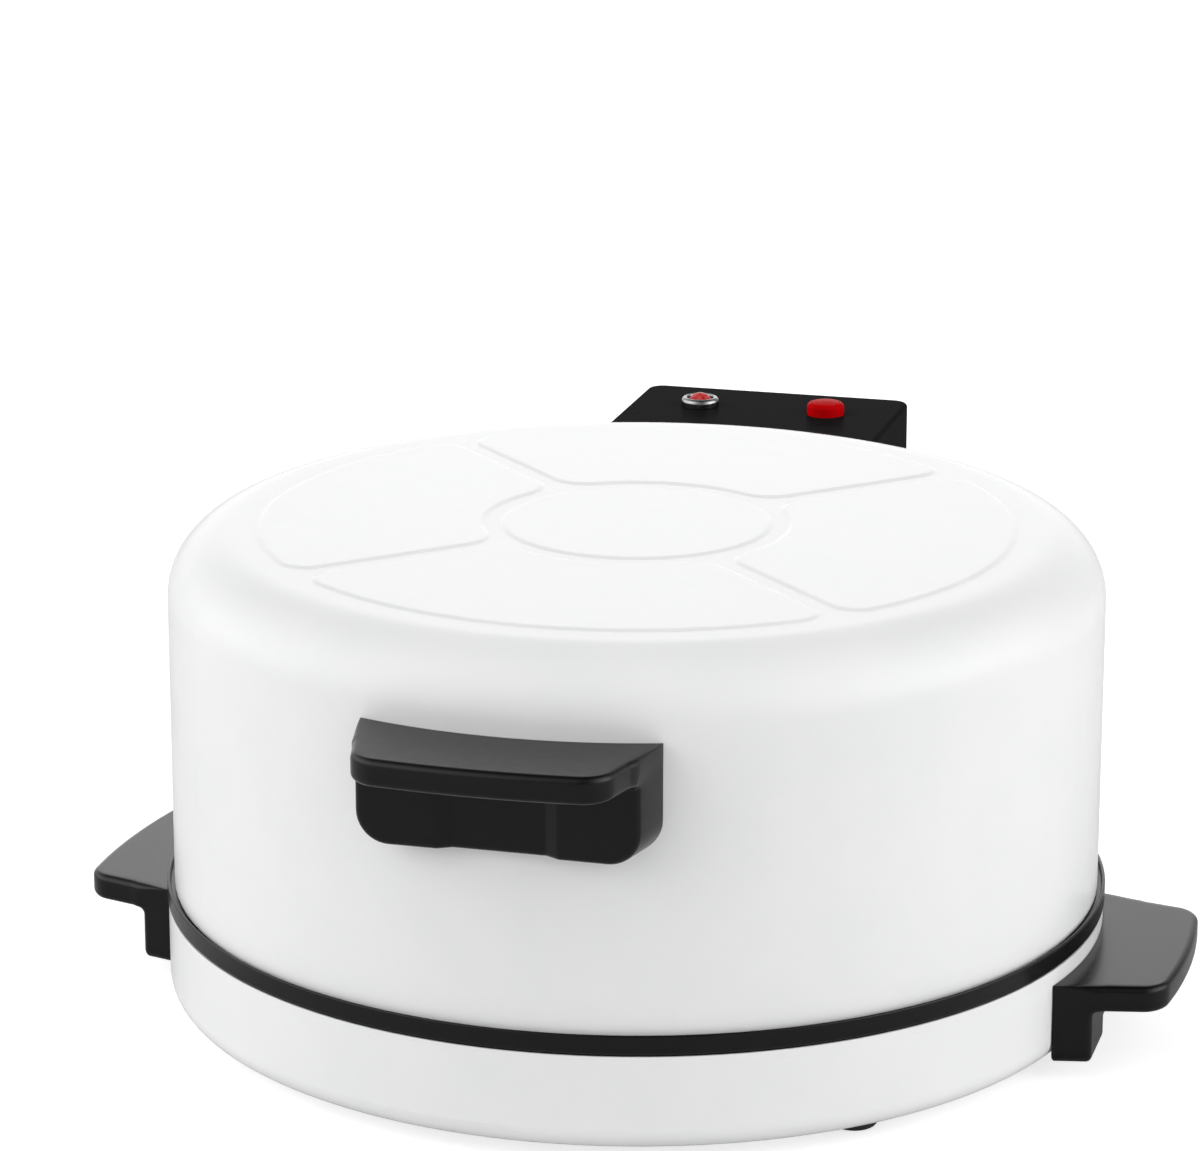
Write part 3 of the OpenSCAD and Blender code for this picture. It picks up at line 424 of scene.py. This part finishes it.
def handle(wall_r, root_w, tip_w, reach, height, block_t, block_corner):
    """A moulded handle on a round wall, pointing along -Y with its top at z = 0: a plate folded to an L.

    The inner face runs from the tip along the underside, round a fillet and down the block's front. The
    outer face runs along the top to the wall and down the wall, where y = sqrt(r r - x x). The ends taper,
    the tip's corners and the block's lower corners are arcs, and the block's middle is set back.
    """
    f, g = INNER_FILLET, GRIP_T
    taper = (root_w - tip_w) / 2 / (reach + ROOT_BACK)
    tip = 1 - np.cos(np.linspace(0, np.pi / 2, 17)[:-1])
    fold = np.linspace(0, 1, 11)[:-1]
    down = np.sin(np.linspace(0, np.pi / 2, 17))
    in_tip, in_fold, in_down = (np.repeat(np.arange(3) == zone, [len(tip), len(fold), len(down)])[:, None]
                                for zone in range(3))
    share = np.concatenate([tip, fold, down])[:, None]
    recess_end = RECESS_HALF + RECESS_SLOPE
    core = np.concatenate([[0, 6, 12, 17], RECESS_HALF + np.array([-0.8, -0.2, 0.3, 1, 3]),
                           recess_end + np.array([-1, -0.3, 0.2, 0.8, 2.5, 5])])
    core = np.concatenate([-core[:0:-1], core])
    outer = np.linspace(0, 1, 10)[1:]
    outer_share = np.concatenate([-outer[::-1], np.zeros(len(core)), outer])
    core_x = np.concatenate([np.full(len(outer), core[0]), core, np.full(len(outer), core[-1])])

    def across(half):
        """Columns at fixed places in the middle, and even ones from there to the end."""
        return core_x + outer_share * (half - core[-1])

    def half_width(y, from_tip, from_floor, inset):
        """Half width at the distance y from the wall, less the arcs of the corners."""
        lost = 0.0
        for depth, corner in ((from_tip, GRIP_CORNER), (from_floor, block_corner)):
            rest = np.clip(corner - inset - depth, 0, corner - inset)
            lost = lost + corner - inset - np.sqrt((corner - inset) ** 2 - rest ** 2)
        return root_w / 2 - taper * (y + ROOT_BACK) - inset - lost

    def place(inset):
        """The inner and the outer face, with the border drawn in by inset."""
        inset = np.broadcast_to(inset, len(share))[:, None]
        tip_y, floor_z = reach - inset[0], inset[-1] - height
        bend = share * np.pi / 2
        plain_y = np.where(in_tip, tip_y + (block_t + f - tip_y) * share, block_t)
        down_z = -g - f + (floor_z + g + f) * share
        from_floor = np.where(in_down, down_z - floor_z, np.inf)
        half = half_width(plain_y, tip_y - plain_y, from_floor, inset)
        x = across(half)
        face = block_t - RECESS_D * np.clip((recess_end - np.abs(x)) / RECESS_SLOPE, 0, 1)
        in_y = np.where(in_tip, tip_y + (face + f - tip_y) * share,
                        np.where(in_fold, face + f - f * np.sin(bend), face))
        in_z = np.where(in_tip, -g, np.where(in_fold, -g - f + f * np.cos(bend), down_z))
        wall_half = half_width(np.full_like(plain_y, WALL_TAPER_Y), np.inf, from_floor, inset)
        blend = np.where(in_tip, 0.0, np.where(in_fold, np.clip(2 * share, 0, 1), 1.0))
        out_x = across(half * (1 - blend) + wall_half * blend)
        wall_y = np.sqrt((wall_r + SEAT) ** 2 - out_x ** 2) - wall_r
        out_y = np.where(in_tip, plain_y, (block_t + f) * (1 - blend) + wall_y * blend)
        out_z = np.where(in_tip, 0.0, np.where(in_fold, (-g - f) * np.clip(2 * share - 1, 0, 1), down_z))
        both = []
        for px, py, pz in ((x, in_y, in_z), (out_x, out_y, out_z)):
            bow = GRIP_BOW * (2 * px / tip_w) ** 2 * np.clip((py - block_t - f) / (reach - block_t - f), 0, 1)
            pz = np.broadcast_to(pz, px.shape)
            both.append(np.stack([px, -wall_r - np.broadcast_to(py, px.shape) + bow, pz], axis=-1))
        return both

    in_edge = np.where(in_tip, GRIP_EDGE, BLOCK_EDGE)[:, 0]
    fading = GRIP_EDGE + (WALL_EDGE - GRIP_EDGE) * smooth(2 * share)
    out_edge = np.where(in_tip, GRIP_EDGE, np.where(in_fold, fading, WALL_EDGE))[:, 0]
    return moulded(place, in_edge, out_edge)


def bezel_section():
    """Section of the lamp's ring: a sleeve through the panel, and a rounded rim with a well for the lens."""
    bore_r = LENS_R + SEAT
    return rounded_profile([
        (bore_r, -SLEEVE_L, 0.3), (SLEEVE_R, -SLEEVE_L, 0.3), (SLEEVE_R, 0, 0.05), (BEZEL_R, 0, 0.3),
        (BEZEL_R, BEZEL_RISE, 2.1), (WELL_R, BEZEL_RISE, 0.8), (WELL_FOOT_R, BEZEL_RISE - WELL_D, 0.1),
        (bore_r, BEZEL_RISE - WELL_FLOOR_D, 0.1)], support=0.02)


def lens_dome():
    """The lamp's lens: a round dome, r = R sin a, that is cut to flat facets in steps round its axis.

    In each facet the radius is R cos(h) / cos(b), where h is half a facet's angle and b the angle from
    its middle, and the cut fades out towards the rim.
    """
    lean = np.linspace(0, 1, 9)
    edge = np.arcsin(LENS_R / LENS_DOME_R)
    r = np.concatenate([[0.0, LENS_R - LENS_BEVEL, LENS_R], LENS_DOME_R * np.sin(edge * (1 - lean))])
    top = LENS_RISE - LENS_DOME_R * (1 - np.cos(edge * (1 - lean)))
    z = np.concatenate([[-LENS_SINK, -LENS_SINK, -LENS_SINK + LENS_BEVEL], top])
    angle = round_angles(8 * LENS_FACETS)
    half = np.pi / LENS_FACETS
    flat = np.cos(half) / np.cos(angle % (2 * half) - half)
    share = np.concatenate([np.zeros(3), smooth(3 * lean)])[:, None]
    return wrapped(polar(r[:, None] * (1 - share + share * flat), angle, z[:, None]))


def button_section():
    """Open section of the power button: a stem, a skirt, a rounded edge and a slightly domed cap."""
    foot_z, flat_r = -BUTTON_SKIRT - STEM_L, BUTTON_R - BUTTON_EDGE
    below = np.array([(0.0, foot_z), (STEM_R - STEM_BEVEL, foot_z), (STEM_R, foot_z + STEM_BEVEL),
                      (STEM_R, -BUTTON_SKIRT), (BUTTON_R - BUTTON_BEVEL, -BUTTON_SKIRT),
                      (BUTTON_R, -BUTTON_SKIRT + BUTTON_BEVEL)])
    a = np.linspace(0, np.pi / 2, 12)
    edge_z = BUTTON_RISE - BUTTON_DOME - BUTTON_EDGE
    edge = np.stack([flat_r + BUTTON_EDGE * np.cos(a), edge_z + BUTTON_EDGE * np.sin(a)], axis=-1)
    cap_r = np.linspace(flat_r, 0, 10)[1:]
    cap = np.stack([cap_r, BUTTON_RISE - BUTTON_DOME * (cap_r / flat_r) ** 2], axis=-1)
    return np.concatenate([below, edge, cap])


def cross_screw():
    """A screw along Z with its head's rim at z = 0 and a cross pressed into the head.

    The head's top is h = SCREW_DOME (1 - (r / R)^2) less SCREW_CUT times the cross's share, which falls from
    1 to 0 over a narrow slope where the nearer axis is half an arm away or the farther one an arm's length.
    """
    angle = round_angles(120)
    r = np.linspace(0, SCREW_HEAD_R - SCREW_BEVEL, 44)[:, None]
    x, y = np.abs(r * np.cos(angle)), np.abs(r * np.sin(angle))
    across = np.clip((SCREW_ARM_W / 2 - np.minimum(x, y)) / SCREW_ARM_SLOPE + 0.5, 0, 1)
    along = np.clip((SCREW_ARM_L - np.maximum(x, y)) / SCREW_END_SLOPE + 0.5, 0, 1)
    top = SCREW_DOME * (1 - (r / SCREW_HEAD_R) ** 2) - SCREW_CUT * across * along
    side = np.array([(SCREW_HEAD_R, -SCREW_BEVEL), (SCREW_HEAD_R, -SCREW_HEAD_T), (SCREW_R, -SCREW_HEAD_T),
                     (SCREW_R, -SCREW_L), (0.0, -SCREW_L)])
    below = (len(side), len(angle))
    radius = np.concatenate([np.broadcast_to(r, top.shape), np.broadcast_to(side[:, :1], below)])
    return wrapped(polar(radius, angle, np.concatenate([top, np.broadcast_to(side[:, 1:], below)])))


def cover_screws():
    """The back cover's screws in the part's frame, with their heads towards +Y and each cross turned."""
    points, quads = cross_screw()
    across, up, turn = np.array(COVER_SCREWS).T[:, :, None]
    turn = np.radians(turn)
    x = points[:, 0] * np.cos(turn) - points[:, 1] * np.sin(turn) + across
    z = points[:, 0] * np.sin(turn) + points[:, 1] * np.cos(turn) + up
    y = np.broadcast_to(COVER_SCREW_Y + points[:, 2], x.shape)
    first = np.arange(len(x))[:, None, None] * len(points)
    return np.stack([x, y, z], axis=-1).reshape(-1, 3), (quads + first).reshape(-1, 4)


# Finishes

FLOAT = "NodeSocketFloat"
# Places of a mix node's colour sockets
MIX_LOW, MIX_HIGH, MIX_RESULT = 6, 7, 2
# Range that most of a noise lies in
NOISE_LOW, NOISE_HIGH = 0.3, 0.7


def node_group(name, inputs, outputs):
    """An empty shader node group with named number sockets, and its two end nodes."""
    group = bpy.data.node_groups.new(name, "ShaderNodeTree")
    for label, value in inputs.items():
        socket = group.interface.new_socket(label, in_out="INPUT", socket_type=FLOAT)
        socket.default_value = value
    for label in outputs:
        group.interface.new_socket(label, in_out="OUTPUT", socket_type=FLOAT)
    return group, group.nodes.new("NodeGroupInput"), group.nodes.new("NodeGroupOutput")


def add(tree, kind, **values):
    """A new node with its properties, and its inputs by name, set."""
    made = tree.nodes.new(kind)
    for key, value in values.items():
        if hasattr(made, key):
            setattr(made, key, value)
        else:
            made.inputs[key.replace("_", " ")].default_value = value
    return made


def math_node(tree, operation, *values):
    """A math node fed by sockets or numbers; gives its output."""
    made = tree.nodes.new("ShaderNodeMath")
    made.operation = operation
    for socket, value in zip(made.inputs, values):
        if isinstance(value, (int, float)):
            socket.default_value = value
        else:
            tree.links.new(value, socket)
    return made.outputs[0]


def make_grain():
    """Fine moulded or sprayed grain: a height, and a soft mottle for colour and roughness."""
    group, given, out = node_group("surface_grain", {"Grain": 2500.0, "Mottle": 60.0}, ("Height", "Mottle"))
    where = add(group, "ShaderNodeTexCoord")
    fine = add(group, "ShaderNodeTexNoise", Detail=2.0, Roughness=0.55)
    soft = add(group, "ShaderNodeTexNoise", Detail=4.0, Roughness=0.6)
    for noise, scale in ((fine, "Grain"), (soft, "Mottle")):
        group.links.new(where.outputs["Object"], noise.inputs["Vector"])
        group.links.new(given.outputs[scale], noise.inputs["Scale"])
    group.links.new(fine.outputs["Fac"], out.inputs["Height"])
    group.links.new(soft.outputs["Fac"], out.inputs["Mottle"])
    return group


def make_edge_highlight():
    """Painted edge highlight: the stored edge share, broken up by noise, as a mask for a lighter edge colour.
    """
    group, given, out = node_group("painted_edge_highlight", {"Amount": 0.5}, ("Mask",))
    stored = add(group, "ShaderNodeAttribute", attribute_name="highlight_edge_share")
    where = add(group, "ShaderNodeTexCoord")
    noise = add(group, "ShaderNodeTexNoise", Scale=180.0, Detail=3.0)
    group.links.new(where.outputs["Object"], noise.inputs["Vector"])
    broken = math_node(group, "MULTIPLY", stored.outputs["Fac"], noise.outputs["Fac"])
    group.links.new(math_node(group, "MULTIPLY", broken, given.outputs["Amount"]), out.inputs["Mask"])
    return group


def make_brushed():
    """Lines round the body's axis, as drawing or polishing leaves them: noise along radius and height."""
    group, given, out = node_group("turned_lines", {"Fineness": 900.0}, ("Line",))
    where = add(group, "ShaderNodeTexCoord")
    centred = add(group, "ShaderNodeMapping")
    centred.inputs["Location"].default_value = (0.0, -BODY_Y * MM, 0.0)
    split = add(group, "ShaderNodeSeparateXYZ")
    group.links.new(where.outputs["Object"], centred.inputs["Vector"])
    group.links.new(centred.outputs["Vector"], split.inputs["Vector"])
    squares = [math_node(group, "MULTIPLY", split.outputs[axis], split.outputs[axis]) for axis in "XY"]
    radius = math_node(group, "SQRT", math_node(group, "ADD", *squares))
    joined = add(group, "ShaderNodeCombineXYZ")
    group.links.new(radius, joined.inputs["X"])
    group.links.new(split.outputs["Z"], joined.inputs["Z"])
    noise = add(group, "ShaderNodeTexNoise", Detail=3.0)
    group.links.new(joined.outputs["Vector"], noise.inputs["Vector"])
    group.links.new(given.outputs["Fineness"], noise.inputs["Scale"])
    group.links.new(noise.outputs["Fac"], out.inputs["Line"])
    return group


GRAIN, EDGE_HIGHLIGHT, LINES = make_grain(), make_edge_highlight(), make_brushed()


def ramp(tree, factor, low, high):
    """Mixes two colours by a factor; gives the colour."""
    mix = tree.nodes.new("ShaderNodeMix")
    mix.data_type = "RGBA"
    tree.links.new(factor, mix.inputs["Factor"])
    for socket, value in ((mix.inputs[MIX_LOW], low), (mix.inputs[MIX_HIGH], high)):
        if isinstance(value, tuple):
            socket.default_value = (*value, 1.0)
        else:
            tree.links.new(value, socket)
    return mix.outputs[MIX_RESULT]


def spread(tree, factor, low, high):
    """Maps the noise's usual range to the range low to high."""
    made = add(tree, "ShaderNodeMapRange", clamp=True)
    for socket, value in zip(made.inputs[1:5], (NOISE_LOW, NOISE_HIGH, low, high)):
        socket.default_value = value
    tree.links.new(factor, made.inputs[0])
    return made.outputs[0]


def finish(name, dark, light, rough, grain=2500.0, mottle=60.0, bump=0.1, depth=0.05, highlight_edges=None,
           lines=None, **shader):
    """A finish whose colour goes from dark to light with the mottle and whose roughness spans rough.

    depth is the grain's height in millimetres. The edge colour and its amount paint a highlight on the
    rounded edges, and lines the fineness of turned lines, which then take the grain's place. The rest is set
    on the shader.
    """
    material = bpy.data.materials.new(name)
    material.use_nodes = True
    tree = material.node_tree
    principled = tree.nodes["Principled BSDF"]
    for key, value in shader.items():
        principled.inputs[key.replace("_", " ")].default_value = value
    skin = add(tree, "ShaderNodeGroup", node_tree=GRAIN, Grain=grain, Mottle=mottle)
    colour = ramp(tree, spread(tree, skin.outputs["Mottle"], 0.0, 1.0), dark, light)
    height, change = skin.outputs["Height"], skin.outputs["Mottle"]
    if lines:
        strokes = add(tree, "ShaderNodeGroup", node_tree=LINES, Fineness=lines)
        height = change = strokes.outputs["Line"]
    # Lighter edges: a painted edge highlight, mixed in by the stored edge share
    if highlight_edges:
        highlight = add(tree, "ShaderNodeGroup", node_tree=EDGE_HIGHLIGHT, Amount=highlight_edges[1])
        colour = ramp(tree, highlight.outputs["Mask"], colour, highlight_edges[0])
    tree.links.new(colour, principled.inputs["Base Color"])
    tree.links.new(spread(tree, change, *rough), principled.inputs["Roughness"])
    relief = add(tree, "ShaderNodeBump", Strength=bump, Distance=depth * MM)
    tree.links.new(height, relief.inputs["Height"])
    tree.links.new(relief.outputs["Normal"], principled.inputs["Normal"])
    return material


finishes = {
    "white_enamel": finish(
        "white enamel", (0.86, 0.865, 0.87), (0.89, 0.89, 0.89), (0.18, 0.24),
        grain=420.0, mottle=18.0, Specular_IOR_Level=0.2),
    # Its lighter edge colour is a painted edge highlight
    "black_phenolic": finish(
        "black phenolic", (0.0026, 0.0026, 0.0028), (0.0034, 0.0034, 0.0036), (0.22, 0.27),
        grain=2600.0, mottle=240.0, bump=0.2, depth=0.03, highlight_edges=((0.008, 0.008, 0.0085), 0.4),
        Specular_IOR_Level=0.25),
    # Its lighter edge colour is a painted edge highlight
    "black_gloss": finish(
        "black gloss", (0.0085, 0.0085, 0.009), (0.011, 0.011, 0.0115), (0.26, 0.32),
        grain=1800.0, mottle=160.0, depth=0.02, highlight_edges=((0.04, 0.04, 0.042), 0.4),
        Specular_IOR_Level=0.0006),
    "plate_coating": finish(
        "plate coating", (0.020, 0.020, 0.021), (0.034, 0.034, 0.035), (0.34, 0.50),
        mottle=30.0, bump=0.5, depth=0.04, lines=700.0),
    "bright_sheet": finish(
        "bright sheet", (0.60, 0.61, 0.62), (0.70, 0.71, 0.72), (0.20, 0.36),
        mottle=14.0, bump=0.25, depth=0.03, lines=600.0, Metallic=1.0),
    "element_sheath": finish(
        "element sheath", (0.075, 0.075, 0.08), (0.14, 0.135, 0.13), (0.40, 0.58),
        grain=1500.0, mottle=120.0, bump=0.4, depth=0.06, Metallic=0.85),
    "zinc_steel": finish(
        "zinc steel", (0.46, 0.47, 0.49), (0.60, 0.61, 0.62), (0.26, 0.40),
        grain=3000.0, mottle=220.0, bump=0.2, depth=0.03, Metallic=1.0),
    "ceramic": finish(
        "ceramic", (0.70, 0.66, 0.58), (0.78, 0.75, 0.68), (0.55, 0.70),
        grain=1800.0, mottle=140.0, bump=0.4, depth=0.06),
    "rubber": finish(
        "rubber", (0.012, 0.012, 0.012), (0.022, 0.022, 0.022), (0.62, 0.78),
        grain=1600.0, mottle=160.0, bump=0.5, depth=0.08),
    "chrome": finish(
        "chrome", (0.26, 0.26, 0.27), (0.34, 0.34, 0.35), (0.16, 0.22),
        grain=900.0, mottle=300.0, bump=0.05, depth=0.02, Metallic=1.0),
    "red_lens": finish(
        "red lens", (0.38, 0.008, 0.008), (0.62, 0.09, 0.09), (0.08, 0.16),
        grain=700.0, mottle=420.0, bump=0.5, depth=0.12, Specular_IOR_Level=0.08),
    "pale_plastic": finish(
        "pale plastic", (0.66, 0.64, 0.58), (0.72, 0.70, 0.64), (0.40, 0.52),
        grain=1500.0, bump=0.2),
    "switch_plastic": finish(
        "switch plastic", (0.03, 0.03, 0.03), (0.045, 0.045, 0.045), (0.42, 0.55),
        grain=1600.0, bump=0.3),
    "red_plastic": finish(
        "red plastic", (0.44, 0.001, 0.002), (0.50, 0.0015, 0.003), (0.22, 0.30),
        grain=900.0, mottle=120.0, bump=0.05, depth=0.02, Specular_IOR_Level=0.004),
}
for subpart in frame["record"]["subparts"]:
    mesh = frame["nodes"][subpart["node"]].data
    mesh.materials.clear()
    mesh.materials.append(finishes[subpart["material_slot"]])


# The oven's pieces

points, quads = lid_cover()
piece("lid_cover", on_body(points), quads, "white_enamel", "lid", "lid_shell", sharp=60.0)

points, quads = turned(ring_section(), 256)
piece("rim_band", on_body(points), quads, "black_phenolic", "base", "rim_ring")

# Each handle's edge shares feed the painted edge highlight on its rounded edges
front, quads, highlight = handle(**FRONT_GRIP)
points = faced(front, 0.0, FRONT_TOP_Z)
piece("front_grip", points, quads, "black_phenolic", "lid", "front_handle", edge=highlight, sharp=GRIP_SHARP)

side, quads, highlight = handle(**SIDE_GRIP)
points = faced(side, RIGHT_GRIP_ANGLE, SIDE_TOP_Z)
piece("right_grip", points, quads, "black_phenolic", "base", "right_side_handle", edge=highlight, sharp=GRIP_SHARP)
points = faced(side, LEFT_GRIP_ANGLE, SIDE_TOP_Z)
piece("left_grip", points, quads, "black_phenolic", "base", "left_side_handle", edge=highlight, sharp=GRIP_SHARP)

points, quads = turned(bezel_section(), 96)
piece("lamp_ring", on_panel(points, -CONTROL_X), quads, "chrome", "lid", "lamp_bezel")

points, quads = lens_dome()
piece("lamp_dome", on_panel(points, -CONTROL_X), quads, "red_lens", "lid", "lamp_lens", sharp=8.0)

points, quads = cover_screws()
piece("cover_screw_heads", points, quads, "zinc_steel", "lid", "cover_screws", sharp=30.0)

points, quads = turned(button_section(), 96, closed=False)
piece("button_cap", on_panel(points, CONTROL_X), quads, "red_plastic", "power_button", "power_button")

points, quads = turned(plate_section(), 192)
piece("plate_disc", on_body(points), quads, "plate_coating", "base", "baking_plate")


# Floor, light and camera

def stage_floor():
    """A wide pale floor: a flat grid, with a glow that only the camera sees."""
    side = np.linspace(-FLOOR_HALF, FLOOR_HALF, 3)
    x, y = np.meshgrid(side, side)
    grid = np.stack([x, y, np.full_like(x, FLOOR_Z)], axis=-1).reshape(-1, 3)
    mesh = bpy.data.meshes.new("floor")
    mesh.from_pydata((grid * MM).tolist(), [], patch_faces(np.arange(x.size).reshape(x.shape)).tolist())
    floor = bpy.data.objects.new("floor", mesh)
    bpy.context.scene.collection.objects.link(floor)
    pale = finish("pale floor", (0.68, 0.68, 0.68), (0.71, 0.71, 0.71), (0.6, 0.8),
                  grain=300.0, mottle=3.0, bump=0.02)
    tree = pale.node_tree
    principled = tree.nodes["Principled BSDF"]
    principled.inputs["Emission Strength"].default_value = FLOOR_GLOW
    seen = add(tree, "ShaderNodeLightPath").outputs["Is Camera Ray"]
    tree.links.new(seen, principled.inputs["Emission Color"])
    mesh.materials.append(pale)


def studio_world(lights):
    """White behind the oven for the camera, and broad soft lights for everything else.

    A light at the azimuth a (0 in front, 90 on the right) and the height h shines along
    d = (cos h sin a, -cos h cos a, sin h). Its share of a direction v is max(v . d, 0) to the power
    LIGHT_FOCUS, times its strength.
    """
    world = bpy.data.worlds.new("studio")
    world.use_nodes = True
    tree = world.node_tree
    lit = tree.nodes["Background"]
    lit.inputs["Color"].default_value = (1.0, 1.0, 1.0, 1.0)
    seen = add(tree, "ShaderNodeBackground", Color=(1.0, 1.0, 1.0, 1.0), Strength=1.0)
    path, choose = add(tree, "ShaderNodeLightPath"), add(tree, "ShaderNodeMixShader")
    where = add(tree, "ShaderNodeTexCoord").outputs["Generated"]
    total = 0.0
    for azimuth, height, strength in lights.values():
        a, h = np.radians(azimuth), np.radians(height)
        facing = add(tree, "ShaderNodeVectorMath", operation="DOT_PRODUCT")
        tree.links.new(where, facing.inputs[0])
        facing.inputs[1].default_value = (np.cos(h) * np.sin(a), -np.cos(h) * np.cos(a), np.sin(h))
        towards = math_node(tree, "MAXIMUM", facing.outputs["Value"], 0.0)
        share = math_node(tree, "POWER", towards, LIGHT_FOCUS)
        total = math_node(tree, "ADD", math_node(tree, "MULTIPLY", share, strength), total)
    tree.links.new(total, lit.inputs["Strength"])
    tree.links.new(path.outputs["Is Camera Ray"], choose.inputs["Fac"])
    tree.links.new(lit.outputs["Background"], choose.inputs[1])
    tree.links.new(seen.outputs["Background"], choose.inputs[2])
    tree.links.new(choose.outputs["Shader"], tree.nodes["World Output"].inputs["Surface"])
    bpy.context.scene.world = world


stage_floor()
studio_world({
    "back low": (195, 12, 1.75),
    "left low": (-90, 14, 1.95),
    "right low": (90, 14, 4.0),
    "front left": (-45, 28, 2.2),
    "front right": (45, 30, 0.15),
    "front": (0, 30, 0.2),
})
bpy.context.scene.view_settings.view_transform = "Standard"

lens = bpy.data.cameras.new("photo_view")
lens.lens, lens.sensor_width, lens.sensor_fit = LENS_LENGTH, SENSOR_WIDTH, "HORIZONTAL"
lens.clip_end = FAR_CLIP
camera = bpy.data.objects.new("photo_view", lens)
camera.location = CAMERA_AT
camera.rotation_euler = (Vector(CAMERA_AIM) - camera.location).to_track_quat("-Z", "Y").to_euler()
bpy.context.scene.collection.objects.link(camera)
bpy.context.scene.camera = camera
